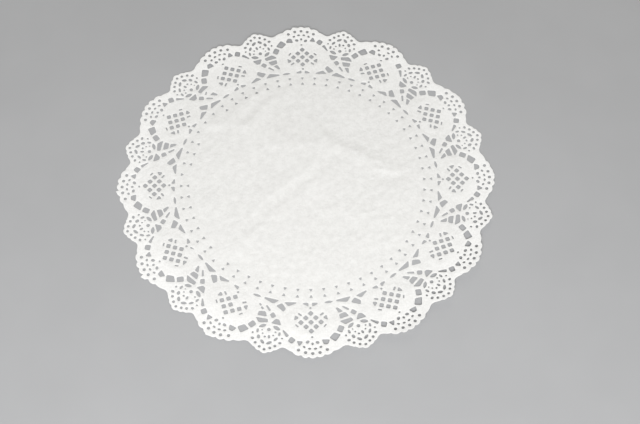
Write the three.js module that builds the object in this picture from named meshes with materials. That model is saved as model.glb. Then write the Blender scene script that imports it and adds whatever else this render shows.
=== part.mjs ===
// A round paper doily: one sheet with a plain middle and a pierced lace border.
// The border has twelve repeats. Each is a round medallion with a lattice in it,
// and a small shell between that medallion and the next one.
// Millimetres, +Z up, origin at the middle of the underside, one medallion on +Y.
// Turns are in degrees. Places in a motif are x to the right of its axis and y out
// along the axis from the middle of the doily.

import * as THREE from 'three';

// Driving dimensions
const RIM_RADIUS = 145.2; // from the middle to the tips of the lobes on the edge
const SHEET_THICKNESS = 1;
const REPEATS = 12;
const REPEAT_TURN = 360 / REPEATS;
const SHELL_TURN = REPEAT_TURN / 2; // clockwise from a medallion's axis to its shell's axis

// The lattice in a medallion: square windows standing on a corner, in rows of 1, 2, 3, 2 and 1
const LATTICE_WINDOW = 3.05; // side of a window
const LATTICE_PITCH_X = 7.3; // between windows in a row
const LATTICE_PITCH_Y = 3.5; // between rows
const LATTICE_TOP_Y = 123.5; // the single window of the outermost row
const LATTICE_ROWS = [1, 2, 3, 2, 1];

// The edge over one repeat, from the valley before a medallion to the next such valley:
// clockwise turn from the medallion's axis, and how far inside the rim radius the edge lies
const EDGE = [
  { turn: -9.9, inset: 7.4 }, // valley before the medallion
  { turn: -8.0, inset: 5.5 },
  { turn: -6.5, inset: 4.6 },
  { turn: -5.2, inset: 2.4 }, // first lobe
  { turn: -4.1, inset: 2.5 },
  { turn: -2.5, inset: 0.6 }, // second lobe
  { turn: -1.5, inset: 0.7 },
  { turn: -0.3, inset: 0.0 }, // middle lobe, the outermost point
  { turn: 1.0, inset: 1.1 },
  { turn: 2.0, inset: 0.6 }, // fourth lobe
  { turn: 3.4, inset: 2.7 },
  { turn: 4.6, inset: 2.6 }, // fifth lobe
  { turn: 5.8, inset: 4.9 },
  { turn: 7.0, inset: 6.2 },
  { turn: 8.6, inset: 7.8 }, // valley before the shell
  { turn: 9.6, inset: 7.0 },
  { turn: 11.0, inset: 4.7 },
  { turn: 12.2, inset: 3.0 },
  { turn: 13.0, inset: 2.4 },
  { turn: 14.2, inset: 1.2 }, // tip of the shell
  { turn: 15.4, inset: 2.4 },
  { turn: 16.4, inset: 3.1 },
  { turn: 17.5, inset: 4.9 },
  { turn: 18.6, inset: 6.3 },
];

// Windows with four corners: centre, length along the turn, width at the near and at the
// far end, anticlockwise turn of the length, and how far the two ends lean from square
const MEDALLION_WINDOWS = [
  { x: -16.9, y: 128.4, length: 6.4, near: 4.9, far: 5.0, turn: 45, lean: 9 }, // ring
  { x: -21.3, y: 122.3, length: 5.0, near: 4.2, far: 4.1, turn: 66, lean: 0 },
  { x: -10.1, y: 132.3, length: 4.2, near: 5.4, far: 2.9, turn: 88, lean: 0 },
  { x: 8.9, y: 133.0, length: 3.7, near: 3.9, far: 0.9, turn: 76, lean: 0 },
  { x: 14.4, y: 130.4, length: 4.2, near: 4.3, far: 3.8, turn: 50, lean: 0 },
  { x: 18.9, y: 124.6, length: 6.0, near: 2.2, far: 1.2, turn: -58, lean: 0 },
  { x: 14.0, y: 101.4, length: 7.4, near: 0.9, far: 3.6, turn: 7, lean: 33 }, // foot
];
const SHELL_WINDOWS = [
  { x: -5.9, y: 117.8, length: 4.3, near: 1.8, far: 7.2, turn: 90, lean: 0 }, // palm
  { x: 5.0, y: 118.8, length: 8.4, near: 2.8, far: 3.5, turn: 4, lean: 20 },
  { x: -1.8, y: 113.5, length: 3.3, near: 4.1, far: 3.5, turn: 44, lean: 0 },
  { x: 6.2, y: 114.0, length: 5.9, near: 3.9, far: 3.0, turn: 9, lean: 14 },
  { x: 8.2, y: 108.8, length: 4.8, near: 3.0, far: 1.3, turn: -63, lean: -20 }, // stem
  { x: -6.7, y: 105.9, length: 6.3, near: 3.4, far: 4.5, turn: -36, lean: 0 },
  { x: 2.8, y: 102.0, length: 9.6, near: 4.0, far: 1.2, turn: -9, lean: -25 }, // foot
];

// Leaf-shaped windows of the shell, pointed at both ends
const SHELL_LEAVES = [
  { x: -6.9, y: 122.7, length: 6.0, width: 3.0, turn: -18 },
  { x: 3.3, y: 123.1, length: 5.8, width: 2.7, turn: 30 },
];

const radians = THREE.MathUtils.degToRad;

// A motif's point, turned clockwise about the middle of the doily
function turned(point, clockwise) {
  return point.clone().rotateAround(new THREE.Vector2(), -radians(clockwise));
}

// Points given along and across a window's own length, set at its place in the motif
function placed({ x, y, turn }, points) {
  const centre = new THREE.Vector2(x, y);
  return points.map((point) => point.rotateAround(new THREE.Vector2(), radians(turn)).add(centre));
}

function barWindow(row) {
  const slope = Math.tan(radians(row.lean));
  const ends = [
    { along: -row.length / 2, across: -row.near / 2 },
    { along: row.length / 2, across: -row.far / 2 },
    { along: row.length / 2, across: row.far / 2 },
    { along: -row.length / 2, across: row.near / 2 },
  ];
  return placed(row, ends.map(({ along, across }) => new THREE.Vector2(along - slope * across, across)));
}

function leafWindow(row) {
  const shoulder = row.length / 5;
  const half = row.width / 2;
  return placed(row, [
    new THREE.Vector2(-row.length / 2, 0),
    new THREE.Vector2(-shoulder, -half),
    new THREE.Vector2(shoulder, -half),
    new THREE.Vector2(row.length / 2, 0),
    new THREE.Vector2(shoulder, half),
    new THREE.Vector2(-shoulder, half),
  ]);
}

function latticeWindows() {
  return LATTICE_ROWS.flatMap((count, row) => Array.from({ length: count }, (_, column) => barWindow({
    x: (column - (count - 1) / 2) * LATTICE_PITCH_X,
    y: LATTICE_TOP_Y - row * LATTICE_PITCH_Y,
    length: LATTICE_WINDOW,
    near: LATTICE_WINDOW,
    far: LATTICE_WINDOW,
    turn: 45,
    lean: 0,
  })));
}

// The windows of one repeat, about the middle of the doily
function repeatWindows() {
  const medallion = [...MEDALLION_WINDOWS.map(barWindow), ...latticeWindows()];
  const shell = [...SHELL_WINDOWS.map(barWindow), ...SHELL_LEAVES.map(leafWindow)];
  return [...medallion, ...shell.map((outline) => outline.map((point) => turned(point, SHELL_TURN)))];
}

// The sheet's outline with its windows, all twelve repeats
function sheetShape() {
  const shape = new THREE.Shape();
  const windows = repeatWindows();
  const edge = [];
  for (let repeat = 0; repeat < REPEATS; repeat += 1) {
    const turn = repeat * REPEAT_TURN;
    EDGE.forEach((row) => edge.push(turned(new THREE.Vector2(0, RIM_RADIUS - row.inset), row.turn + turn)));
    windows.forEach((outline) => shape.holes.push(new THREE.Path(outline.map((point) => turned(point, turn)))));
  }
  shape.setFromPoints(edge);
  return shape;
}

function doilySheet() {
  const geometry = new THREE.ExtrudeGeometry(sheetShape(), { depth: SHEET_THICKNESS, bevelEnabled: false });
  const paper = new THREE.MeshStandardMaterial({ color: 0xf0efec, roughness: 0.9, metalness: 0 });
  const sheet = new THREE.Mesh(geometry, paper);
  sheet.name = 'doily';
  return sheet;
}

const doily = new THREE.Group();
doily.add(doilySheet());

export default doily;
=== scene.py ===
# %% [markdown]
# # A stamped paper doily
# This lesson builds one round paper doily around a CAD model that holds its real size.
# The real thing is a single sheet of thin white paper. One stroke of a press punches the
# lace through it and stamps soft relief into what is left.
# The CAD plate is loaded first. It fixes the size, and it is what the sheet replaces.

# %% Load the CAD model
import math
from collections import namedtuple

import bpy
import numpy as np
from mathutils import Matrix, Vector
from mathutils.geometry import delaunay_2d_cdt
from mathutils.kdtree import KDTree


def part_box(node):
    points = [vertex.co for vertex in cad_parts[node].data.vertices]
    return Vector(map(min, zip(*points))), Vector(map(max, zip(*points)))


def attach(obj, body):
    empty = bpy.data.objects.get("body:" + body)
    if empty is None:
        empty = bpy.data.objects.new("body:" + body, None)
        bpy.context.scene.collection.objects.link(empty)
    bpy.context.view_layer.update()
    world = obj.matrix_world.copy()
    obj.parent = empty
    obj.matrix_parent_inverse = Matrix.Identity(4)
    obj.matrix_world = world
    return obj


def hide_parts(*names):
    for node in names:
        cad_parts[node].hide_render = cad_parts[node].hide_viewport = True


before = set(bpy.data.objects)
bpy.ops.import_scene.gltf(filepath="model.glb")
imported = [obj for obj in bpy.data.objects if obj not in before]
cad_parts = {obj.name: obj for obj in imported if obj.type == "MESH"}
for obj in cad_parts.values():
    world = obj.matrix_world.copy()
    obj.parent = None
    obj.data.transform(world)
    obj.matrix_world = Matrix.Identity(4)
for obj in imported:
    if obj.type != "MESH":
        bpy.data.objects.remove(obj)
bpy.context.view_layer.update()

MM = 0.001
low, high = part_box("doily")
RIM_RADIUS = high.x / MM
print(f"the plate is {2 * RIM_RADIUS:.1f} mm across and {(high.z - low.z) / MM:.1f} mm thick")

# %% [markdown]
# ## The camera
# The photo looks down on the doily at 62 degrees from the floor. A photo of a regular
# pattern says where its camera stood: only one place, tilt and lens lay all twelve repeats
# of the lace over each other. Those are the numbers below. Sizes in the photo are pixels
# of a frame 640 wide and 424 high.

# %% Place the camera
PHOTO_SIZE = (640, 424)
DOILY_PIXEL = (306.5, 182.4)  # where the middle of the doily shows
LENS = 69.4  # millimetres, on a sensor 36 wide
SENSOR_WIDTH = 36.0
CAMERA_DEPTH = 0.949  # metres along the lens axis to the middle of the doily
CAMERA_ELEVATION = math.radians(62.0)
CAMERA_ROLL = math.radians(1.52)
CAMERA_TURN = math.radians(-3.3)  # the lace is turned this much against the view


def camera_at_photo():
    turn = (
        Matrix.Rotation(CAMERA_TURN, 4, "Z")
        @ Matrix.Rotation(math.pi / 2 - CAMERA_ELEVATION, 4, "X")
        @ Matrix.Rotation(CAMERA_ROLL, 4, "Z")
    )
    per_pixel = CAMERA_DEPTH * SENSOR_WIDTH / LENS / PHOTO_SIZE[0]
    right = (DOILY_PIXEL[0] - PHOTO_SIZE[0] / 2) * per_pixel
    up = (PHOTO_SIZE[1] / 2 - DOILY_PIXEL[1]) * per_pixel
    place = turn @ Vector((-right, -up, CAMERA_DEPTH))
    data = bpy.data.cameras.new("photo camera")
    data.lens = LENS
    data.sensor_width = SENSOR_WIDTH
    data.sensor_fit = "HORIZONTAL"
    camera = bpy.data.objects.new("photo camera", data)
    camera.matrix_world = Matrix.Translation(place) @ turn
    bpy.context.scene.collection.objects.link(camera)
    bpy.context.scene.camera = camera
    return camera


camera = camera_at_photo()
print("the camera stands at", [round(value, 3) for value in camera.location])

# %% [markdown]
# ## The windows
# A repeat of the lace has 81 windows. Those with four corners take most of the room, and a
# row gives such a window its middle, its length, its width at both ends, the turn of its
# length and the lean of each end. x is to the right of a motif's axis and y is the distance
# out along it. The others are ovals, given by a middle, two sizes and a turn. A leaf is an
# oval with its two ends drawn to a point. Only one repeat is charted, because the whole
# border is that repeat turned twelve times.

# %% Chart the medallion
Bar = namedtuple("Bar", "x y length near far turn near_lean far_lean")
Oval = namedtuple("Oval", "x y length width turn")

MEDALLION_BARS = [
    Bar(-16.9, 128.3, 6.1, 4.8, 5.4, 52, 18, 2),  # ring of windows round the medallion
    Bar(-21.2, 122.3, 5.0, 4.2, 4.1, 66, 0, 0),
    Bar(-10.1, 132.3, 3.8, 5.8, 3.0, 88, 0, 0),
    Bar(8.8, 132.9, 3.6, 4.6, 0.9, 82, 0, 0),
    Bar(14.5, 130.3, 4.2, 4.3, 3.8, 50, 0, 0),
    Bar(18.9, 124.6, 6.1, 2.4, 0.8, -57, 0, 0),
    Bar(14.1, 101.2, 7.4, 0.8, 3.7, 7, 0, 33),  # foot
    Bar(-3.1, 102.0, 4.0, 1.0, 2.9, 14, 0, -12),
    Bar(3.5, 101.9, 3.9, 2.8, 0.9, -14, 12, 0),
    Bar(-10.5, 112.9, 2.6, 4.1, 1.0, 0, 12, 0),  # half windows beside the lattice
    Bar(10.6, 112.75, 2.7, 1.2, 3.9, 0, 0, -10),
    Bar(-10.1, 119.3, 2.7, 0.9, 0.9, 52, 0, 0),  # slits at its corners
    Bar(10.4, 119.0, 2.7, 1.0, 1.0, -43, 0, 0),
    Bar(-8.0, 110.2, 3.0, 1.3, 1.3, 37, 0, 0),
    Bar(8.0, 110.2, 2.9, 1.2, 1.2, -37, 0, 0),
]
print(len(MEDALLION_BARS), "windows with corners round the lattice")

# %% Chart its dots and its leaf
MEDALLION_OVALS = [
    Oval(-10.9, 138.4, 2.3, 2.3, 0),  # one dot in each lobe of the edge
    Oval(-5.6, 140.6, 2.3, 2.3, 0),
    Oval(-0.4, 141.2, 2.3, 2.3, 0),
    Oval(4.7, 140.3, 2.3, 2.3, 0),
    Oval(9.7, 138.1, 2.3, 2.3, 0),
    Oval(-6.4, 136.1, 2.1, 1.6, 30),  # second row of the crown
    Oval(-2.5, 137.4, 2.3, 1.5, 10),
    Oval(1.7, 137.3, 2.2, 1.5, -10),
    Oval(5.6, 135.8, 2.2, 1.5, -45),
    Oval(-4.1, 132.5, 2.7, 2.1, -20),  # third row of the crown
    Oval(-0.5, 133.5, 1.7, 2.0, 0),
    Oval(3.0, 132.0, 2.8, 2.2, 40),
    Oval(-0.4, 128.2, 1.6, 1.2, 0),  # above and below the lattice
    Oval(0.2, 105.2, 1.6, 1.6, 0),
]
MEDALLION_LEAVES = [Oval(-13.2, 100.7, 6.1, 1.85, 8)]
print(len(MEDALLION_OVALS), "dots and ovals, and", len(MEDALLION_LEAVES), "leaf")

# %% Set its lattice
LATTICE_ROWS = [1, 2, 3, 2, 1]
LATTICE_WINDOW = 3.05  # side of a square window
LATTICE_PITCH = (7.3, 3.5)
LATTICE_X, LATTICE_TOP = 0.1, 123.5
LATTICE_TURN = 45  # each square stands on its corner

for row, count in enumerate(LATTICE_ROWS):
    for column in range(count):
        x = LATTICE_X + (column - (count - 1) / 2) * LATTICE_PITCH[0]
        y = LATTICE_TOP - row * LATTICE_PITCH[1]
        MEDALLION_BARS.append(Bar(x, y, *[LATTICE_WINDOW] * 3, LATTICE_TURN, 0, 0))
print(len(MEDALLION_BARS + MEDALLION_OVALS + MEDALLION_LEAVES), "windows in a medallion")

# %% Chart the shell between two medallions
SHELL_BARS = [
    Bar(-5.8, 117.8, 4.1, 2.5, 7.6, 90, 0, 0),  # palm
    Bar(4.6, 118.9, 7.8, 2.6, 4.0, 7, 8, 36),
    Bar(-1.8, 113.5, 3.3, 4.1, 3.5, 44, 0, 0),
    Bar(6.1, 113.8, 5.9, 3.9, 3.5, 5, 21, -12),
    Bar(2.8, 108.7, 5.1, 1.6, 1.1, -45, 0, 0),  # stem
    Bar(8.1, 108.8, 4.8, 3.2, 1.3, -63, -20, -20),
    Bar(-6.7, 105.9, 6.2, 3.1, 4.5, -36, 12, -15),
    Bar(2.9, 102.0, 9.3, 4.1, 1.1, -9, -37, 0),  # foot
]
SHELL_LEAVES = [
    Oval(-6.9, 122.7, 5.75, 2.7, -18),
    Oval(3.35, 123.1, 5.5, 2.45, 30),
]
SHELL_OVALS = [
    Oval(-12.7, 129.8, 1.5, 1.2, 0),  # dots along the edge
    Oval(-12.0, 133.7, 2.3, 1.85, 0),
    Oval(-9.1, 136.7, 2.05, 2.05, 0),
    Oval(-5.9, 139.0, 2.0, 2.0, 0),
    Oval(-2.2, 140.9, 2.0, 2.0, 0),
    Oval(1.7, 139.5, 2.0, 2.0, 0),
    Oval(5.4, 137.1, 2.05, 2.05, 0),
    Oval(8.2, 134.1, 2.5, 1.95, 0),
    Oval(9.1, 129.8, 1.4, 1.7, 0),
    Oval(-10.0, 126.9, 3.0, 1.6, 88),  # slots that fan out inside them
    Oval(-8.4, 131.4, 3.5, 1.8, 57),
    Oval(-4.4, 135.2, 4.2, 2.05, 37),
    Oval(0.6, 135.4, 3.8, 2.1, -42),
    Oval(4.2, 132.1, 3.1, 2.3, -70),
    Oval(6.0, 127.6, 3.2, 1.7, -85),
    Oval(-6.9, 126.1, 1.4, 1.2, 0),  # small dots round the middle one
    Oval(-5.9, 128.9, 1.25, 1.25, 0),
    Oval(-3.2, 130.6, 2.8, 1.65, -75),
    Oval(-0.2, 131.1, 1.65, 1.4, 0),
    Oval(1.9, 128.9, 1.2, 1.2, 0),
    Oval(3.0, 126.4, 0.9, 1.0, 0),
    Oval(-1.75, 125.1, 2.6, 2.6, 0),
]
print(len(SHELL_BARS + SHELL_OVALS + SHELL_LEAVES), "windows in a shell")

# %% [markdown]
# ## The edge
# The edge of the sheet is scalloped. A wide scallop runs round each medallion and a narrow
# one round each shell. Each has small lobes, and a lobe is simply a disc of paper round one
# of the outermost dots. So the edge is worked out from two things: a smooth curve through
# the rows below, which sets the valleys, and the discs, which stand out past it. A row
# gives a clockwise turn from the medallion's axis and how far inside the rim the curve lies.

# %% Chart the edge
REPEATS = 12
REPEAT_TURN = 360 / REPEATS
SHELL_TURN = REPEAT_TURN / 2  # a shell stands halfway between two medallions

EdgeRow = namedtuple("EdgeRow", "turn inset")
EDGE = [
    EdgeRow(-9.9, 7.4),  # valley before the medallion
    EdgeRow(-9.2, 7.0),
    EdgeRow(-8.3, 5.8),
    EdgeRow(-7.4, 5.0),
    EdgeRow(-6.5, 4.7),
    EdgeRow(-4.5, 3.2),  # under the five lobes of the crown
    EdgeRow(-2.0, 1.9),
    EdgeRow(0.0, 1.7),
    EdgeRow(2.2, 2.0),
    EdgeRow(4.5, 3.5),
    EdgeRow(5.8, 5.1),
    EdgeRow(6.8, 5.9),
    EdgeRow(7.6, 7.0),
    EdgeRow(8.5, 7.8),  # valley before the shell
    EdgeRow(9.4, 7.4),
    EdgeRow(10.1, 6.2),
    EdgeRow(10.9, 5.2),
    EdgeRow(12.5, 3.3),
    EdgeRow(14.2, 1.9),  # tip of the shell
    EdgeRow(15.8, 3.1),
    EdgeRow(17.6, 5.2),
    EdgeRow(18.3, 5.9),
    EdgeRow(19.2, 7.1),
]

# %% Chart the lobes
Lobe = namedtuple("Lobe", "dot turn radius push")  # push is how far a disc lies outside its dot
LOBES = [
    Lobe(MEDALLION_OVALS[0], 0, 4.6, -0.45),  # five lobes of the crown, wide ones at its ends
    Lobe(MEDALLION_OVALS[1], 0, 3.65, 0.15),
    Lobe(MEDALLION_OVALS[2], 0, 3.3, 0.65),
    Lobe(MEDALLION_OVALS[3], 0, 2.8, 1.5),
    Lobe(MEDALLION_OVALS[4], 0, 4.5, -0.1),
    Lobe(SHELL_OVALS[2], SHELL_TURN, 3.0, 0.45),  # five lobes of the shell
    Lobe(SHELL_OVALS[3], SHELL_TURN, 3.1, 0.25),
    Lobe(SHELL_OVALS[4], SHELL_TURN, 3.5, -0.35),
    Lobe(SHELL_OVALS[5], SHELL_TURN, 3.7, -0.6),
    Lobe(SHELL_OVALS[6], SHELL_TURN, 2.7, 0.6),
]
print(len(EDGE), "rows and", len(LOBES), "lobes make the edge of one repeat")

# %% Run a smooth curve through the rows
EDGE_START = -10  # clockwise turn at which the edge of a repeat begins
EDGE_POINTS = 108  # points of the edge in one repeat


def smooth_rows(turns):
    """A smooth curve through the rows of the edge, run on over the ends of a repeat."""
    known = np.array([row.turn for row in EDGE])
    inset = np.array([row.inset for row in EDGE])
    known = np.concatenate([known - REPEAT_TURN, known, known + REPEAT_TURN])
    inset = np.tile(inset, 3)
    slope = np.gradient(inset, known)
    index = np.searchsorted(known, turns, side="right") - 1
    step = known[index + 1] - known[index]
    t = (turns - known[index]) / step
    rise = inset[index + 1] - inset[index]
    bend = step * (slope[index] + slope[index + 1]) - 2 * rise
    sweep = 3 * rise - step * (2 * slope[index] + slope[index + 1])
    return RIM_RADIUS - (inset[index] + step * slope[index] * t + sweep * t**2 + bend * t**3)


turns = EDGE_START + np.arange(EDGE_POINTS) * REPEAT_TURN / EDGE_POINTS
edge_radius = smooth_rows(turns)
print(f"the curve lies {edge_radius.min():.1f} to {edge_radius.max():.1f} mm out")

# %% Let the lobes stand out past it
def disc_reach(turns, lobe):
    """How far out a ray at each turn leaves the disc of a lobe, or 0 where it misses."""
    dot = lobe.dot
    out = 1 + lobe.push / math.hypot(dot.x, dot.y)
    angle = np.radians(turns - lobe.turn)
    along = out * (dot.x * np.sin(angle) + dot.y * np.cos(angle))
    aside = out * (dot.x * np.cos(angle) - dot.y * np.sin(angle))
    inside = np.clip(lobe.radius**2 - aside**2, 0, None)
    return np.where(np.abs(aside) < lobe.radius, along + np.sqrt(inside), 0)


for lobe in LOBES:
    edge_radius = np.maximum(edge_radius, disc_reach(turns, lobe))
print(f"the edge lies {edge_radius.min():.1f} to {edge_radius.max():.1f} mm out")

# %% [markdown]
# The press did not cut every crown cleanly. On seven of them a scrap was left between two
# lobes: its outer side is straight and ends in a sharp point. A row names the repeat,
# counted clockwise, and both ends of that straight side.

# %% Leave the scraps on the crowns
Scrap = namedtuple("Scrap", "repeat start start_inset end end_inset")
SCRAPS = [
    Scrap(0, -2.8, 0.15, -1.0, 0.9),
    Scrap(0, 1.1, 0.8, 2.6, 0.35),
    Scrap(1, -0.3, 0.1, 1.1, 0.1),
    Scrap(2, -4.3, 2.4, -0.6, -0.4),
    Scrap(3, -4.2, 2.3, -0.8, -0.2),
    Scrap(7, -0.1, 0.1, 1.7, -0.5),
    Scrap(8, -3.1, 0.4, -1.45, -1.5),
    Scrap(9, -3.0, 0.8, -1.4, -1.0),
]


def edge_loop():
    parts = []
    for repeat in range(REPEATS):
        radius = edge_radius.copy()
        for scrap in SCRAPS:
            if scrap.repeat == repeat:
                share = (turns - scrap.start) / (scrap.end - scrap.start)
                inset = scrap.start_inset + share * (scrap.end_inset - scrap.start_inset)
                beside_it = (share >= 0) & (share <= 1)
                radius = np.where(beside_it, np.maximum(radius, RIM_RADIUS - inset), radius)
        angle = np.radians(turns + repeat * REPEAT_TURN)
        parts.append(np.stack([radius * np.sin(angle), radius * np.cos(angle)], axis=1))
    return np.concatenate(parts)


edge = edge_loop()
print("the edge has", len(edge), "points")

# %% [markdown]
# ## From rows to outlines
# Each kind of window has one function that works out its outline. The corners of a punch
# are never sharp, so a window with corners has each of them replaced by a short curve. The
# pinholes inside the border are small triangles in two rings. Those of the outer ring point
# inwards and those of the inner ring point outwards.

# %% Outline a window with corners
CORNER = 0.95  # how far a rounded corner reaches along its sides
CORNER_SHARE = 0.24  # and at most this share of a side


def placed(row, along, across):
    """Points given along and across a window's length, set at the window's place."""
    angle = math.radians(row.turn)
    cos, sin = math.cos(angle), math.sin(angle)
    along, across = np.asarray(along), np.asarray(across)
    x = row.x + along * cos - across * sin
    y = row.y + along * sin + across * cos
    return np.stack([x, y], axis=1)


def rounded(points):
    """The outline through these corners, each replaced by three points of a curve."""
    outline = []
    neighbours = zip(np.roll(points, 1, axis=0), points, np.roll(points, -1, axis=0))
    for before, corner, after in neighbours:
        sides = [before - corner, after - corner]
        ends = [corner + side * min(CORNER / np.hypot(*side), CORNER_SHARE) for side in sides]
        outline += [ends[0], (ends[0] + 2 * corner + ends[1]) / 4, ends[1]]
    return np.array(outline)


def bar_outline(row):
    across = np.array([-row.near, -row.far, row.far, row.near]) / 2
    lean = np.radians([row.near_lean, row.far_lean, row.far_lean, row.near_lean])
    along = np.array([-1, 1, 1, -1]) * row.length / 2 - np.tan(lean) * across
    return rounded(placed(row, along, across))


print("a window with corners has", len(bar_outline(MEDALLION_BARS[0])), "points")

# %% Outline the round windows
OVAL_POINTS, DOT_POINTS, LEAF_POINTS = 12, 8, 14
DOT_LENGTH = 1.5  # an oval no longer than this is a dot, and needs fewer points
LEAF_PINCH = 1.5  # 1 is an oval, more draws its two ends to a point


def round_the_clock(count):
    return np.arange(count) * 2 * np.pi / count


def oval_outline(row):
    angle = round_the_clock(OVAL_POINTS if row.length > DOT_LENGTH else DOT_POINTS)
    return placed(row, row.length / 2 * np.cos(angle), row.width / 2 * np.sin(angle))


def leaf_outline(row):
    angle = round_the_clock(LEAF_POINTS)
    belly = np.sign(np.sin(angle)) * np.abs(np.sin(angle)) ** LEAF_PINCH
    return placed(row, row.length / 2 * np.cos(angle), row.width / 2 * belly)


print("a leaf has", len(leaf_outline(MEDALLION_LEAVES[0])), "points")

# %% Ease a window and turn it to its place
CUT_EASE = 0.11  # the torn fibres leave every window this much wider all round
Window = namedtuple("Window", "motif x y outline")


def anticlockwise(loop):
    x, y = loop.T
    area = np.sum(x * np.roll(y, -1) - y * np.roll(x, -1)) / 2
    return loop if area > 0 else loop[::-1]


def beside(loop, offset):
    """Points beside an anticlockwise loop: outside it, or inside for a negative offset."""
    along = np.roll(loop, -1, axis=0) - np.roll(loop, 1, axis=0)
    along /= np.hypot(*along.T)[:, None]
    return loop + np.stack([along[:, 1], -along[:, 0]], axis=1) * offset


def eased(outline):
    return beside(anticlockwise(outline), CUT_EASE)


def turned(points, clockwise):
    """Points turned clockwise about the middle of the doily, in degrees."""
    angle = math.radians(-clockwise)
    cos, sin = math.cos(angle), math.sin(angle)
    return np.asarray(points) @ np.array([[cos, sin], [-sin, cos]])


def windows_of(motif, rows, outline, turn=0):
    return [Window(motif, row.x, row.y, turned(eased(outline(row)), turn)) for row in rows]


repeat_windows = windows_of("medallion", MEDALLION_BARS, bar_outline)
repeat_windows += windows_of("medallion", MEDALLION_OVALS, oval_outline)
repeat_windows += windows_of("medallion", MEDALLION_LEAVES, leaf_outline)
repeat_windows += windows_of("shell", SHELL_BARS, bar_outline, SHELL_TURN)
repeat_windows += windows_of("shell", SHELL_OVALS, oval_outline, SHELL_TURN)
repeat_windows += windows_of("shell", SHELL_LEAVES, leaf_outline, SHELL_TURN)
print(len(repeat_windows), "windows in a medallion and a shell")

# %% Set the pinholes in their two rings
PIN_FIRST = -12.35  # clockwise turn of a repeat's first pinhole
PIN_PITCH = 6.0
PINS_A_REPEAT = 5
PIN_REACH = 1.55  # from a pinhole's middle to its corners
PinRing = namedtuple("PinRing", "radius points_to")
PIN_RINGS = [PinRing(96.2, -90), PinRing(90.8, 90)]


def pinholes(ring):
    """One ring's pinholes in a repeat. Their x is a number from 0 up, their y the radius."""
    angles = np.radians(ring.points_to + np.array([0, 120, 240]))
    x = PIN_REACH * np.cos(angles)
    y = ring.radius + PIN_REACH * np.sin(angles)
    pin = eased(rounded(np.stack([x, y], axis=1)))
    return [
        Window("pinhole", number, ring.radius, turned(pin, PIN_FIRST + number * PIN_PITCH))
        for number in range(PINS_A_REPEAT)
    ]


repeat_windows += [window for ring in PIN_RINGS for window in pinholes(ring)]
print(len(repeat_windows), "windows in one repeat of the lace")

# %% [markdown]
# ## Windows that stayed closed
# A press never clears every scrap. On the real sheet a few windows kept their paper. A row
# names the repeat, counted clockwise, and the place of such a window in its motif. Three
# of them opened in part, and a second table holds what is open there. The rest is punched
# twelve times over.

# %% Chart the closed windows
Closed = namedtuple("Closed", "repeat motif x y")
CLOSED = [
    Closed(1, "medallion", 8.8, 132.9),
    Closed(1, "medallion", -2.5, 137.4),
    Closed(7, "medallion", -3.55, 113.0),
    Closed(7, "medallion", -3.1, 102.0),
    Closed(8, "medallion", -3.1, 102.0),
    Closed(3, "shell", -5.9, 128.9),
    Closed(3, "shell", 6.0, 127.6),
    Closed(6, "shell", 8.1, 108.8),
    Closed(7, "shell", -5.9, 128.9),
    Closed(10, "shell", 6.1, 113.8),
    Closed(8, "pinhole", 0, 90.8),
    Closed(9, "pinhole", 3, 90.8),
    Closed(10, "pinhole", 2, 90.8),
    Closed(10, "pinhole", 3, 90.8),
    Closed(10, "pinhole", 4, 90.8),
]
PartOpen = namedtuple("PartOpen", "turn bar")  # the turn is that of the motif
PART_OPEN = [
    PartOpen(8 * REPEAT_TURN, Bar(-3.4, 102.4, 3.2, 0.5, 1.7, 30, 0, 0)),
    PartOpen(6 * REPEAT_TURN + SHELL_TURN, Bar(9.1, 107.15, 2.2, 1.5, 1.3, -41, 0, 0)),
    PartOpen(6 * REPEAT_TURN + SHELL_TURN, Bar(7.1, 109.55, 2.5, 1.7, 1.7, -35, 0, 0)),
    PartOpen(10 * REPEAT_TURN + SHELL_TURN, Bar(4.1, 114.2, 3.2, 1.6, 1.0, 30, 0, 0)),
]
print(len(CLOSED), "windows stayed closed, with", len(PART_OPEN), "small openings in them")

# %% Punch all twelve repeats
def punched():
    loops = []
    for repeat in range(REPEATS):
        for window in repeat_windows:
            place = (round(window.x, 2), round(window.y, 2))
            if Closed(repeat, window.motif, *place) not in CLOSED:
                loops.append(turned(window.outline, repeat * REPEAT_TURN))
    loops += [turned(bar_outline(part.bar), part.turn) for part in PART_OPEN]
    return loops


windows = punched()
print(len(windows), "windows are open in the whole sheet")

# %% [markdown]
# ## The creases
# Handling left creases in the plain middle. The main one is a long ridge that crosses the
# far half: its near flank is wide and catches the light, and on the right its far flank
# drops so steeply that it shows as a dark line. A long trough runs slantwise from the
# middle towards the near left, and is charted as the soft ridge on each side of it. The
# creases come before the mesh, because rows of its points will follow them. A crease is a
# list of sections. Each gives a place on the crest, its height, and how far the paper takes
# to level out on the left and on the right of the way along. A negative height makes a
# small dent. The crests were read off the photo, between a lit flank and a dark one. The
# sheet could be sculpted by hand instead, but a chart is easier to measure and to correct.

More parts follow.
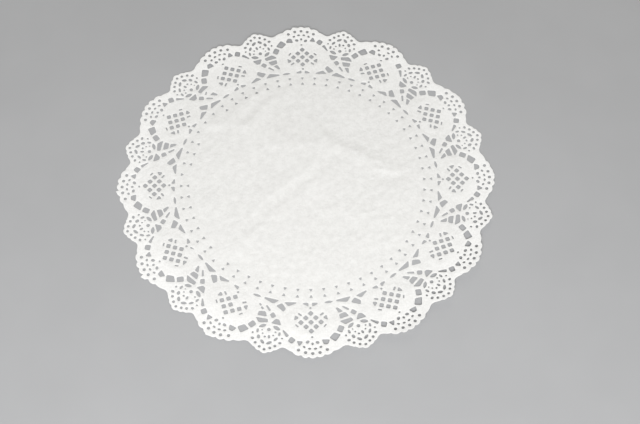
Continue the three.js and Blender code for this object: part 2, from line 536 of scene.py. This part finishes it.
# %% Chart the ridges of the far half
Section = namedtuple("Section", "x y height left right")
MAIN_RIDGE = [
    Section(-32, 33, 0.05, 12, 12),
    Section(-22, 34, 0.65, 13, 13),
    Section(-2, 35, 0.90, 12, 13),
    Section(12, 34.5, 1.00, 10, 14),
    Section(21, 33, 0.95, 7, 12),
    Section(27, 30.8, 0.85, 4.2, 9),
    Section(36, 27.8, 0.85, 3.2, 8),
    Section(46, 22, 0.80, 3.6, 8),
    Section(55, 17.5, 0.55, 3.8, 5),
    Section(62, 14.5, 0.20, 4, 3.5),
    Section(67, 12, 0.02, 4, 3),
]
RIDGE_ABOVE = [
    Section(-2, 61, 0.05, 4, 4),
    Section(3, 57, 0.35, 4, 4),
    Section(10.5, 48.2, 0.50, 3.4, 5),
    Section(16.5, 41.5, 0.55, 3.4, 6),
    Section(24, 35, 0.15, 4, 5),
]
RIGHT_STEP = [
    Section(49, 12.2, 0.03, 9, 1.6),
    Section(55, 10.2, 0.52, 12, 1.6),
    Section(67, 6.6, 0.55, 11, 1.6),
    Section(74, 8.2, 0.45, 7, 1.6),
    Section(82, 11.2, 0.10, 5, 1.6),
]
LEFT_RIDGE = [
    Section(-80, 52, 0.05, 7, 5),
    Section(-74, 52.5, 0.80, 7, 6),
    Section(-61, 54, 0.70, 7, 5),
    Section(-48, 52, 0.55, 6, 4),
    Section(-38, 49, 0.04, 6, 4),
]
CORNER_RIDGE = [
    Section(-20, 82, 0.25, 8, 3.5),
    Section(-27, 75, 0.80, 8.5, 3.3),
    Section(-36, 65, 1.00, 9, 3.3),
    Section(-45, 54, 0.85, 9, 3.6),
    Section(-53, 46, 0.04, 8, 4),
]
CORNER_SHELF = [
    Section(-28, 87, 0.30, 5, 5),
    Section(-41, 79, 0.80, 6, 6),
    Section(-55, 64.5, 0.62, 6, 6),
    Section(-64, 57, 0.03, 6, 6),
]
print(len(MAIN_RIDGE), "sections make the main ridge")

# %% Chart the two sides of the trough
TROUGH_FAR_SIDE = [
    Section(12, 21, 0.03, 3.4, 8),
    Section(4.5, 14.8, 0.55, 3.8, 9),
    Section(-11.5, 0.4, 0.80, 3.8, 9),
    Section(-31, -14, 0.60, 3.8, 8),
    Section(-42, -26, 0.35, 3.4, 7),
    Section(-54, -41, 0.20, 3.4, 6),
    Section(-64, -53, 0.02, 3.4, 6),
]
TROUGH_NEAR_SIDE = [
    Section(17, 10, 0.02, 6, 4),
    Section(-2.5, -9, 0.35, 6, 4.4),
    Section(-22, -23, 0.60, 7, 4.4),
    Section(-44, -46, 0.60, 7, 4.4),
    Section(-54, -57, 0.40, 6, 4),
    Section(-60, -64, 0.02, 6, 4),
]
CREASES = [MAIN_RIDGE, RIDGE_ABOVE, TROUGH_FAR_SIDE, TROUGH_NEAR_SIDE, RIGHT_STEP]
CREASES += [LEFT_RIDGE, CORNER_RIDGE, CORNER_SHELF]
print(len(CREASES), "long creases are charted")

# %% Chart the small creases
BRIGHT_SPOT = [
    Section(49, 2.6, 0.05, 1.4, 1.4),
    Section(51, 2.3, 0.60, 1.4, 1.4),
    Section(53, 1.8, 0.03, 1.4, 1.4),
]
DENT_UNDER_STEP = [
    Section(52, 1, -0.02, 2, 1.8),
    Section(64, 0.5, -0.34, 2.6, 1.8),
    Section(76, 4.5, -0.25, 2.4, 1.8),
]
RIGHT_UPPER = [
    Section(28, -31, 0.02, 3, 3),
    Section(50, -27, 0.40, 2.2, 4),
    Section(70, -19.5, 0.05, 2.2, 3),
]
RIGHT_LOWER = [
    Section(42, -37, 0.02, 3, 3),
    Section(56, -33, 0.40, 2.2, 4),
    Section(68, -31, 0.05, 2.2, 3),
]
NEAR_RIGHT = [
    Section(30, -60, 0.02, 3, 3),
    Section(38, -52, 0.36, 2.2, 4),
    Section(46, -46, 0.03, 2.2, 3),
]
NEAR_MIDDLE = [
    Section(-20, -45, 0.02, 3, 3),
    Section(-13, -39, 0.30, 3, 2.2),
    Section(-5, -32, 0.03, 3, 2.2),
]
LEFT_DENT = [
    Section(-58, 20, 0.0, 3, 3),
    Section(-50, 6, -0.22, 3, 3),
    Section(-46, -14, 0.0, 3, 3),
]
RIGHT_BEND = [
    Section(32, -16, 0.0, 3, 3),
    Section(46, -30, 0.22, 3, 4),
    Section(53, -46, 0.0, 3, 3),
]
NEAR_BEND = [
    Section(-14, -51, 0.0, 3, 3),
    Section(4, -58, 0.20, 3, 3),
    Section(24, -56, 0.0, 3, 3),
]
CREASES += [BRIGHT_SPOT, DENT_UNDER_STEP, RIGHT_UPPER, RIGHT_LOWER, NEAR_RIGHT, NEAR_MIDDLE]
CREASES += [LEFT_DENT, RIGHT_BEND, NEAR_BEND]
print(len(CREASES), "creases in all")

# %% Follow the creases
CREASE_SHARPNESS = 1.35  # 2 is a soft ridge, 1 a knife fold
CREASE_STEP = 1.3  # between points along a crease
CREASE_ROWS = (0, 1.2, -1.2, 2.8, -2.8)  # how far from the crest its rows of points lie


def spans_of(crease):
    """Each stretch of a crease, as the numbers of its two sections."""
    rows = np.array(crease, float)
    return zip(rows[:-1], rows[1:])


def crease_rows():
    """Points along each crest and beside it."""
    rows = []
    for crease in CREASES:
        for start, end in spans_of(crease):
            length = np.hypot(*(end - start)[:2])
            along = (end - start)[:2] / length
            left = np.array([-along[1], along[0]])
            steps = np.arange(0, length, CREASE_STEP)[:, None] * along
            rows += [start[:2] + steps + left * offset for offset in CREASE_ROWS]
    return np.concatenate(rows)


def creased(places):
    """The height that the creases add. Each counts by its nearest stretch alone."""
    height = np.zeros(len(places))
    for crease in CREASES:
        nearest = np.full(len(places), np.inf)
        lift = np.zeros(len(places))
        for start, end in spans_of(crease):
            span = (end - start)[:2]
            gap = places - start[:2]
            share = np.clip(gap @ span / (span @ span), 0, 1)
            x, y, crest, left, right = (start + share[:, None] * (end - start)).T
            distance = np.hypot(places[:, 0] - x, places[:, 1] - y)
            on_left = span[0] * gap[:, 1] - span[1] * gap[:, 0] > 0
            reach = np.where(on_left, left, right)
            here = crest * np.exp(-((distance / reach) ** CREASE_SHARPNESS))
            lift = np.where(distance < nearest, here, lift)
            nearest = np.minimum(nearest, distance)
        height += lift
    return height


print(len(crease_rows()), "points lie along the creases")

# %% [markdown]
# ## From outlines to a mesh
# Cutting almost a thousand windows with booleans would be slow and leave poor faces. It is
# simpler to say where the paper is: inside the edge and outside every window. A Delaunay
# triangulation joins points into well-shaped triangles and keeps the outlines as edges.
# It needs some points between the outlines too. A row of them follows each window, so that
# the paper can bend down to the cut, more rows follow the creases, and rings fill the rest.

# %% Scatter the points between the outlines
ROW_OFFSET = 0.42  # from a window to the row of points beside it
EDGE_OFFSET = 0.6
FILL_START, BORDER_START = 1.4, 86.0  # radii of the first ring and of the first close one
FILL_PITCH, BORDER_PITCH = 2.3, 1.45  # between two points of a ring
ROW_APART, FILL_APART = 0.3, 0.75  # no two points stand closer than this
TRIANGLE_RISE = math.sqrt(3) / 2  # height of an even triangle, for a side of 1


def fill_rings():
    points, radius, shift = [], FILL_START, 0.0
    while radius < RIM_RADIUS:
        pitch = FILL_PITCH if radius < BORDER_START else BORDER_PITCH
        count = REPEATS * max(1, round(2 * math.pi * radius / pitch / REPEATS))
        angle = (np.arange(count) + shift) * 2 * math.pi / count
        points.append(radius * np.stack([np.sin(angle), np.cos(angle)], axis=1))
        radius += pitch * TRIANGLE_RISE
        shift = 0.5 - shift  # every other ring is half a step further round
    return np.concatenate(points)


def spread(taken, candidates, apart):
    """The candidates that stand clear of the points taken before them."""
    kept = []
    for points, distance in zip(candidates, apart):
        tree = KDTree(len(taken))
        for index, point in enumerate(taken):
            tree.insert((*point, 0), index)
        tree.balance()
        clear = [point for point in points if tree.find((*point, 0))[2] > distance]
        kept.append(np.array(clear))
        taken = np.concatenate([taken, kept[-1]])
    return taken


outlines = [anticlockwise(loop) for loop in [edge] + windows]
outline_points = np.concatenate(outlines)
rows = [beside(outlines[0], -EDGE_OFFSET)]
rows += [beside(window, ROW_OFFSET) for window in outlines[1:]]
candidates = [np.concatenate(rows), crease_rows(), fill_rings()]
points = spread(outline_points, candidates, [ROW_APART, FILL_APART, FILL_APART])
print(len(outline_points), "points on the outlines and", len(points), "in all")

# %% Join the points into triangles of paper
INSIDE_LOOPS = 1  # asks for triangles inside the outlines alone
SAME_POINT = 0.00001  # two points as near as this are one
EDGE_LOOP = 0  # number of the edge among the outlines


def triangulated(points, outlines):
    """Places and triangles of the paper, which lies inside the edge and outside all windows."""
    loops, start = [], 0
    for outline in outlines:
        loops.append(list(range(start, start + len(outline))))
        start += len(outline)
    places, _, triangles, _, _, sources = delaunay_2d_cdt(
        [Vector(point) for point in points], [], loops, INSIDE_LOOPS, SAME_POINT, True
    )
    in_edge_alone = [source == [EDGE_LOOP] for source in sources]
    paper = np.array(triangles)[in_edge_alone]
    used, triangles = np.unique(paper, return_inverse=True)
    return np.array(places)[used], triangles.reshape(-1, 3)


flat, triangles = triangulated(points, outlines)

# %% [markdown]
# ## The relief
# The paper lies nearly flat, yet light finds every dent in it. Four things lift it. The
# press draws the paper down at each cut and swells it a little in between. The creases
# above cross the middle, which also cockles in long, low waves. And the edge curls off the
# floor at the far and near sides, which shows in the photo as lace that stands a little too
# far up the picture. Each is a short function of the flat place. Their sum is the height.
# A cloth simulation could bend the sheet too, but paper as stiff and flat as this needs none.

# %% Press the stamped relief
CUT_DROP, CUT_WIDTH = 0.14, 0.34  # how far the paper bends down at a cut, and how wide
Dome = namedtuple("Dome", "x y across out height rim")
MEDALLION_DOME = Dome(0.5, 115.8, 19.0, 13.2, 0.20, 2.4)  # its top is flat and its rim slopes
GROOVE_RADIUS, GROOVE_DEPTH, GROOVE_WIDTH = 99.0, 0.10, 0.7  # line between lace and pinholes


def smooth_step(value):
    value = np.clip(value, 0, 1)
    return value * value * (3 - 2 * value)


def distance_to_cuts(places):
    tree = KDTree(len(outline_points))
    for index, point in enumerate(outline_points):
        tree.insert((*point, 0), index)
    tree.balance()
    return np.array([tree.find((*place, 0))[2] for place in places])


def in_one_repeat(places):
    """All repeats laid over the first one, as x and y in its medallion's frame."""
    radius = np.hypot(*places.T)
    clockwise = np.degrees(np.arctan2(places[:, 0], places[:, 1]))
    clockwise = (clockwise + REPEAT_TURN / 2) % REPEAT_TURN - REPEAT_TURN / 2
    angle = np.radians(clockwise)
    return radius * np.sin(angle), radius * np.cos(angle)


def stamped(places):
    """Domed medallions inside a groove, drawn down at every cut."""
    cut = distance_to_cuts(places)
    x, y = in_one_repeat(places)
    dome = MEDALLION_DOME
    share = np.hypot((x - dome.x) / dome.across, (y - dome.y) / dome.out)
    swell = smooth_step((1 - share) * dome.out / dome.rim) * dome.height
    groove = np.exp(-(((np.hypot(*places.T) - GROOVE_RADIUS) / GROOVE_WIDTH) ** 2))
    return swell - GROOVE_DEPTH * groove - CUT_DROP * np.exp(-((cut / CUT_WIDTH) ** 2))


stamp = stamped(flat)
print(f"the stamped relief spans {np.ptp(stamp):.2f} mm")

# %% Curl the edge
Curl = namedtuple("Curl", "turn spread height bend")
CURLS = [
    Curl(-20, 20, 2.2, 1.6),  # far edge
    Curl(15, 24, 2.0, 1.6),
    Curl(122, 19, 2.1, 1.6),  # near edge, on the right
    Curl(153, 24, 1.7, 1.6),
    Curl(112, 22, 1.7, 3.5),  # its rim turns up more sharply
    Curl(148, 26, 1.6, 3.5),
    Curl(192, 30, 1.0, 3.5),
    Curl(132, 34, 0.9, 9.0),  # and most of all at the very edge
]
RIM_LIFT, RIM_BEND = 0.4, 1.6  # the whole rim lifts a little
CURL_START = 104.0  # radius where a curl begins


def curled(places):
    turn = np.degrees(np.arctan2(places[:, 0], places[:, 1]))
    reach = np.clip((np.hypot(*places.T) - CURL_START) / (RIM_RADIUS - CURL_START), 0, 1)
    height = RIM_LIFT * reach**RIM_BEND
    for curl in CURLS:
        away = (turn - curl.turn + 180) % 360 - 180
        height += curl.height * np.exp(-((away / curl.spread) ** 2)) * reach**curl.bend
    return height


curl = curled(flat)
print(f"the edge curls up by {curl.max():.2f} mm")

# %% Let the middle cockle
Wave = namedtuple("Wave", "height length turn shift")
COCKLE = [
    Wave(0.16, 92, 24, 0.3),
    Wave(0.10, 67, 107, 1.1),
    Wave(0.05, 41, 158, 2.6),
    Wave(0.02, 23, 66, 0.9),
]
COCKLE_FULL, COCKLE_END = 55.0, 105.0  # radii where the cockle begins to settle and is gone


def cockled(places):
    height = np.zeros(len(places))
    for wave in COCKLE:
        angle = math.radians(wave.turn)
        across = places @ np.array([math.sin(angle), math.cos(angle)])
        height += wave.height * (1 + np.sin(across * 2 * math.pi / wave.length + wave.shift))
    settled = smooth_step((np.hypot(*places.T) - COCKLE_FULL) / (COCKLE_END - COCKLE_FULL))
    return height * (1 - settled)


height = stamp + creased(flat) + curl + cockled(flat)
height -= height.min()
print(f"the sheet rises {height.max():.2f} mm above the floor at the most")

# %% [markdown]
# ## One sheet with a thickness
# The triangles now become a mesh object at the CAD plate's place. A Solidify modifier gives
# the paper its thickness and closes all the cuts, and the modifier is applied. Smooth
# shading with an angle keeps the cut edges crisp. Each point also stores two shares: how
# hard the press smoothed the paper there, and how much a painted highlight whitens it near the
# edge.

# %% Make the paper
PAPER_THICKNESS = 0.2 * MM
LACE_START, LACE_FULL = 97.0, 102.0  # radii where the pressed border begins and is full
HIGHLIGHT_START, HIGHLIGHT_FULL = 113.0, 136.0  # radii where the painted highlight on the border begins and is full
CRISP_ANGLE = math.radians(50)  # a sharper edge than this stays crisp


def paper_mesh():
    mesh = bpy.data.meshes.new("paper_sheet")
    places = np.column_stack([flat, height]) * MM
    places[:, 2] += low.z
    mesh.from_pydata(places.tolist(), [], triangles.tolist())
    radius = np.hypot(*flat.T)
    pressed = smooth_step((radius - LACE_START) / (LACE_FULL - LACE_START))
    # painted highlight: the outer lace is painted whiter towards the rim
    painted_highlight = smooth_step((radius - HIGHLIGHT_START) / (HIGHLIGHT_FULL - HIGHLIGHT_START))
    mesh.attributes.new("pressed", "FLOAT", "POINT").data.foreach_set("value", pressed)
    mesh.attributes.new("painted_highlight", "FLOAT", "POINT").data.foreach_set("value", painted_highlight)
    return mesh


def select_only(piece):
    bpy.ops.object.select_all(action="DESELECT")
    piece.select_set(True)
    bpy.context.view_layer.objects.active = piece


sheet = bpy.data.objects.new("paper_sheet", paper_mesh())
bpy.context.scene.collection.objects.link(sheet)
select_only(sheet)
solidify = sheet.modifiers.new("thickness", "SOLIDIFY")
solidify.thickness = PAPER_THICKNESS
solidify.offset = 1  # all of it above the charted heights
bpy.ops.object.modifier_apply(modifier=solidify.name)
bpy.ops.object.shade_smooth_by_angle(angle=CRISP_ANGLE)
sheet_triangles = sum(len(face.vertices) - 2 for face in sheet.data.polygons)
print("the sheet has", sheet_triangles, "triangles")

# %% [markdown]
# ## Shader maths as Python
# A node tree is easier to read as an expression. This small class wraps one socket, and its
# operators add Math nodes. The function below it adds any other node, and a material is
# begun and finished with two more.

# %% Wrap a socket and add nodes
class Value:
    def __init__(self, tree, socket):
        self.tree = tree
        self.socket = socket

    def math(self, operation, *others):
        return node(self.tree, "ShaderNodeMath", {"operation": operation}, (self, *others))

    def __add__(self, other):
        return self.math("ADD", other)

    def __mul__(self, other):
        return self.math("MULTIPLY", other)

    def __sub__(self, other):
        return self.math("SUBTRACT", other)

    def __rsub__(self, other):
        return node(self.tree, "ShaderNodeMath", {"operation": "SUBTRACT"}, (other, self))

    __radd__ = __add__
    __rmul__ = __mul__


def node(tree, kind, settings, inputs, output=0):
    """Adds a node. Its settings come first, then its sockets' values or links."""
    new = tree.nodes.new(kind)
    for name, setting in settings.items():
        if name == "stops":
            for element, (position, colour) in zip(new.color_ramp.elements, setting):
                element.position = position
                element.color = colour
        else:
            setattr(new, name, setting)
    named = inputs.items() if isinstance(inputs, dict) else enumerate(inputs)
    for key, value in named:
        if isinstance(value, Value):
            tree.links.new(value.socket, new.inputs[key])
        else:
            new.inputs[key].default_value = value
    return Value(tree, new.outputs[output])


# %% Begin and finish a material
def new_material(name):
    material = bpy.data.materials.new(name)
    material.use_nodes = True
    tree = material.node_tree
    tree.nodes.clear()
    return material, tree


def finish_material(tree, values):
    """One Principled surface with the values or links given by socket name."""
    surface = node(tree, "ShaderNodeBsdfPrincipled", {}, values)
    output = tree.nodes.new("ShaderNodeOutputMaterial")
    tree.links.new(surface.socket, output.inputs["Surface"])


# %% [markdown]
# ## The paper's finish
# Thin white tissue has no gloss. Held close it shows the cloudy spread of its fibres and
# single fibres that lie every way. The colour moves only a little, so most of the look is
# in the bump. It holds a fine felt, long crossing fibres made by stretching a noise, a soft
# unevenness, and a crumple that runs slantwise over the sheet. The pressed lace is smoother.
# A painted highlight whitens the lace, most towards the rim. All of it is worked out from where a
# point lies on the sheet.

# %% Make two kinds of noise
def noise(tree, position, scale, detail=3.0, roughness=0.6):
    """Scale is in waves a metre."""
    values = {"Vector": position, "Scale": scale, "Detail": detail, "Roughness": roughness}
    return node(tree, "ShaderNodeTexNoise", {}, values)


def fibres(tree, position, turn, stretch, scale):
    """Noise drawn out along one direction of the sheet, by so many times."""
    values = {"Vector": position, "Rotation": (0, 0, math.radians(turn)), "Scale": (stretch, 1, 1)}
    drawn = node(tree, "ShaderNodeMapping", {"vector_type": "TEXTURE"}, values)
    return noise(tree, drawn, scale, detail=2.0)


# %% Tint the paper and paint the lace's highlight
GRAIN_SCALE, CLOUD_SCALE = 1150, 210
CLOUD_SHARE = 0.6  # of the clouds in the plain paper's colour, the rest is grain
GRAIN_IN_LACE = 0.45  # how much more of the grain shows where the press has been
PLAIN_STOPS = [(0.38, (0.800, 0.790, 0.767, 1)), (0.60, (0.885, 0.875, 0.852, 1))]
# the lace's white is a painted highlight, lighter than the plain paper
LACE_HIGHLIGHT_STOPS = [(0.38, (0.88, 0.87, 0.85, 1)), (0.62, (0.98, 0.97, 0.95, 1))]
LACE_SHARE = 0.2  # of the painted highlight's white, wherever the press has been
MIX_FACTOR, MIX_FIRST, MIX_SECOND, MIX_COLOUR = 0, 6, 7, 2  # a Mix node's sockets for colour


def cloudy(tree, grain, position, pressed):
    cloud = noise(tree, position, CLOUD_SCALE, detail=6.0) * CLOUD_SHARE
    cloud += grain * (1 - CLOUD_SHARE)
    return cloud + (grain - 0.5) * pressed * GRAIN_IN_LACE


def paper_colour(tree, grain, cloud, pressed, painted_highlight):
    plain = node(tree, "ShaderNodeValToRGB", {"stops": PLAIN_STOPS}, {"Fac": cloud})
    lace = node(tree, "ShaderNodeValToRGB", {"stops": LACE_HIGHLIGHT_STOPS}, {"Fac": grain})
    # the painted highlight: a fifth of the lace's white where the press has been, all of it at the
    # rim
    highlight_share = pressed * LACE_SHARE + painted_highlight * (1 - LACE_SHARE)
    inputs = {MIX_FACTOR: highlight_share, MIX_FIRST: plain, MIX_SECOND: lace}
    return node(tree, "ShaderNodeMix", {"data_type": "RGBA"}, inputs, output=MIX_COLOUR)


# %% Raise the felt, the fibres and the crumple
FELT_SCALE, FELT_WEIGHT = 3400, 0.4
FIBRE_SCALE, FIBRE_WEIGHT, FIBRE_STRETCH = 2600, 0.3, 8.0
FIBRE_TURNS = (28, -47)  # they cross
PRESSED_FLAT = 0.5  # share of the felt and the fibres that the press takes away
UNEVEN_SCALE, UNEVEN_WEIGHT = 420, 1.6
CRUMPLE_TURN = 34
LONG_SCALE, LONG_WEIGHT, LONG_STRETCH = 240, 2.4, 2.8  # crumple, from fine to broad
ROUND_SCALE, ROUND_WEIGHT = 105, 5.0
BROAD_SCALE, BROAD_WEIGHT, BROAD_STRETCH = 58, 11.0, 2.0
BUMP_HEIGHT = 0.08 * MM


def paper_bump(tree, position, pressed):
    first, second = [
        fibres(tree, position, turn, FIBRE_STRETCH, FIBRE_SCALE) for turn in FIBRE_TURNS
    ]
    felt = noise(tree, position, FELT_SCALE, detail=4.0)
    fine = (first + second) * FIBRE_WEIGHT + felt * FELT_WEIGHT
    crumple = fibres(tree, position, CRUMPLE_TURN, LONG_STRETCH, LONG_SCALE) * LONG_WEIGHT
    crumple += noise(tree, position, ROUND_SCALE) * ROUND_WEIGHT
    crumple += fibres(tree, position, CRUMPLE_TURN, BROAD_STRETCH, BROAD_SCALE) * BROAD_WEIGHT
    uneven = noise(tree, position, UNEVEN_SCALE) * UNEVEN_WEIGHT
    relief = fine * (1 - pressed * PRESSED_FLAT) + uneven + crumple
    inputs = {"Height": relief, "Strength": 1.0, "Distance": BUMP_HEIGHT}
    return node(tree, "ShaderNodeBump", {}, inputs)


# %% Mix the paper
ROUGHNESS = 0.9
PRESSED_SMOOTHER, CLOUD_ROUGHER = 0.08, 0.06


def paper_material():
    material, tree = new_material("lace paper")
    position = node(tree, "ShaderNodeTexCoord", {}, {}, output="Object")
    pressed = node(tree, "ShaderNodeAttribute", {"attribute_name": "pressed"}, {}, output="Fac")
    painted_highlight = node(tree, "ShaderNodeAttribute", {"attribute_name": "painted_highlight"}, {}, output="Fac")
    grain = noise(tree, position, GRAIN_SCALE)
    cloud = cloudy(tree, grain, position, pressed)
    roughness = ROUGHNESS - pressed * PRESSED_SMOOTHER + (cloud - 0.5) * CLOUD_ROUGHER
    values = {
        "Base Color": paper_colour(tree, grain, cloud, pressed, painted_highlight),
        "Roughness": roughness,
        "Normal": paper_bump(tree, position, pressed),
    }
    finish_material(tree, values)
    return material


sheet.data.materials.append(paper_material())
print("the paper's material has", len(sheet.data.materials[0].node_tree.nodes), "nodes")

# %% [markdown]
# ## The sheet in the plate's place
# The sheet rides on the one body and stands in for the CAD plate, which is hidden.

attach(sheet, "root")
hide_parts("doily")

# %% [markdown]
# ## Floor, light and colour
# White lace needs a darker ground for its windows to read, so the floor is a plain light
# grey. One wide lamp stands on the camera's side, high up, which brightens the near edge and
# grazes the creases. A warmer, weaker one fills from behind. The Standard view keeps a
# white paper white.

# %% Lay the floor
FLOOR_SIDE = 8.0
FLOOR_DROP = 0.02 * MM  # so that no face of the paper lies in the floor
FLOOR_STOPS = [(0.4, (0.4365, 0.4365, 0.44135, 1)), (0.6, (0.45, 0.45, 0.455, 1))]
FLOOR_SCALE = 9  # of its very faint clouds
FLOOR_ROUGHNESS = 0.85


def lay_floor():
    bpy.ops.object.select_all(action="DESELECT")
    bpy.ops.mesh.primitive_plane_add(size=FLOOR_SIDE, location=(0, 0, -FLOOR_DROP))
    floor = bpy.context.object
    floor.name = "floor"
    bpy.ops.object.transform_apply(location=True, rotation=True, scale=True)
    material, tree = new_material("studio floor")
    position = node(tree, "ShaderNodeTexCoord", {}, {}, output="Object")
    clouds = noise(tree, position, FLOOR_SCALE)
    colour = node(tree, "ShaderNodeValToRGB", {"stops": FLOOR_STOPS}, {"Fac": clouds})
    finish_material(tree, {"Base Color": colour, "Roughness": FLOOR_ROUGHNESS})
    floor.data.materials.append(material)


lay_floor()
print("the floor is", FLOOR_SIDE, "m wide")

# %% Light it
Lamp = namedtuple("Lamp", "place side watts colour")
LAMPS = [
    Lamp((-0.05, -0.9, 1.05), 0.8, 18.8, (0.98, 0.99, 1.0)),  # wide, from the camera's side
    Lamp((0.3, 1.5, 1.0), 1.0, 4.0, (1.0, 0.95, 0.80)),  # weak and warm, from behind
]
SKY_STRENGTH = 0.27


def hang_lamp(lamp, number):
    data = bpy.data.lights.new(f"lamp {number}", "AREA")
    data.shape = "SQUARE"
    data.size = lamp.side
    data.energy = lamp.watts
    data.color = lamp.colour
    hung = bpy.data.objects.new(f"lamp {number}", data)
    hung.location = lamp.place
    hung.rotation_euler = (-Vector(lamp.place)).to_track_quat("-Z", "Y").to_euler()
    bpy.context.scene.collection.objects.link(hung)


def light_sky():
    world = bpy.data.worlds.new("studio")
    world.use_nodes = True
    background = world.node_tree.nodes["Background"]
    background.inputs["Color"].default_value = (1, 1, 1, 1)
    background.inputs["Strength"].default_value = SKY_STRENGTH
    bpy.context.scene.world = world


for number, lamp in enumerate(LAMPS):
    hang_lamp(lamp, number)
light_sky()
bpy.context.scene.view_settings.view_transform = "Standard"
print(len(LAMPS), "lamps and the sky light it")
